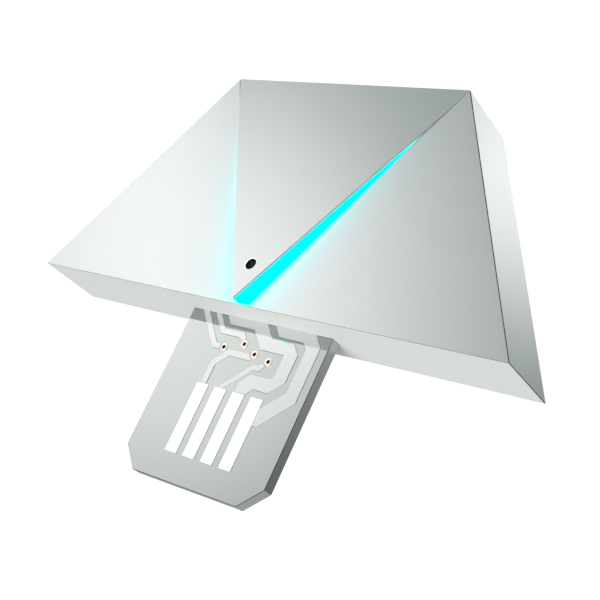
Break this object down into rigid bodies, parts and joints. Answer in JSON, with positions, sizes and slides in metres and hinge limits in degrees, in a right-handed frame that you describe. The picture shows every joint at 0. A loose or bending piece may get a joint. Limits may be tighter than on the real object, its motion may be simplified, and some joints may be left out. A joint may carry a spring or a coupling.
{
  "type": "plug-in sensor module",
  "caption": "Flat trapezoid sensor module with three triangular front facets, a light guide along the raised one, and a plug tongue.",
  "frame": {"origin": "centroid of the flat back face", "axes": "+Z out of the faceted front, +Y from the long edge to the short edge, the tongue points to -Y, +X along the long edge"},
  "size_m": [0.058, 0.0424, 0.0091],
  "materials": {
    "shell_white": "fine satin gloss moulding",
    "light_guide": "lit translucent cyan",
    "board_silver": "mirror-bright coated laminate",
    "track_film": "glossy raised film",
    "contact_white": "satin white plating",
    "via_gold": "pale gold plating",
    "dark_fill": "matt dark",
    "steel": "turned steel",
    "rubber": "soft moulded rubber",
    "chip_black": "moulded chip body",
    "metal_can": "bright metal can",
    "ceramic": "fired ceramic",
    "lamp_white": "side light body"
  },
  "bodies": {
    "root": {"amplifier_chip": "chip_black", "back_cover": "shell_white", "capacitor_1": "ceramic", "capacitor_2": "ceramic", "capacitor_3": "ceramic", "centre_facet": "shell_white", "circuit_board": "board_silver", "contact_pad_1": "contact_white", "contact_pad_2": "contact_white", "contact_pad_3": "contact_white", "contact_pad_4": "contact_white", "controller_chip": "chip_black", "cover_screw_1": "steel", "cover_screw_2": "steel", "cover_screw_3": "steel", "crystal": "metal_can", "front_shell": "shell_white", "ground_track": "track_film", "light_guide": "light_guide", "microphone": "metal_can", "microphone_gasket": "rubber", "microphone_mesh": "dark_fill", "pad_1_track": "track_film", "pad_2_track": "track_film", "power_coil": "chip_black", "resistor_1": "chip_black", "resistor_2": "chip_black", "resistor_3": "chip_black", "side_light_left_1": "lamp_white", "side_light_left_2": "lamp_white", "side_light_left_3": "lamp_white", "side_light_right_1": "lamp_white", "side_light_right_2": "lamp_white", "side_light_right_3": "lamp_white", "supply_track": "track_film", "via_1": "via_gold", "via_1_track": "track_film", "via_2": "via_gold", "via_2_track": "track_film", "via_3": "via_gold", "via_4": "via_gold", "via_fill_1": "dark_fill", "via_fill_2": "dark_fill", "via_fill_3": "dark_fill", "via_fill_4": "dark_fill", "voltage_regulator": "chip_black"}
  },
  "joints": []
}
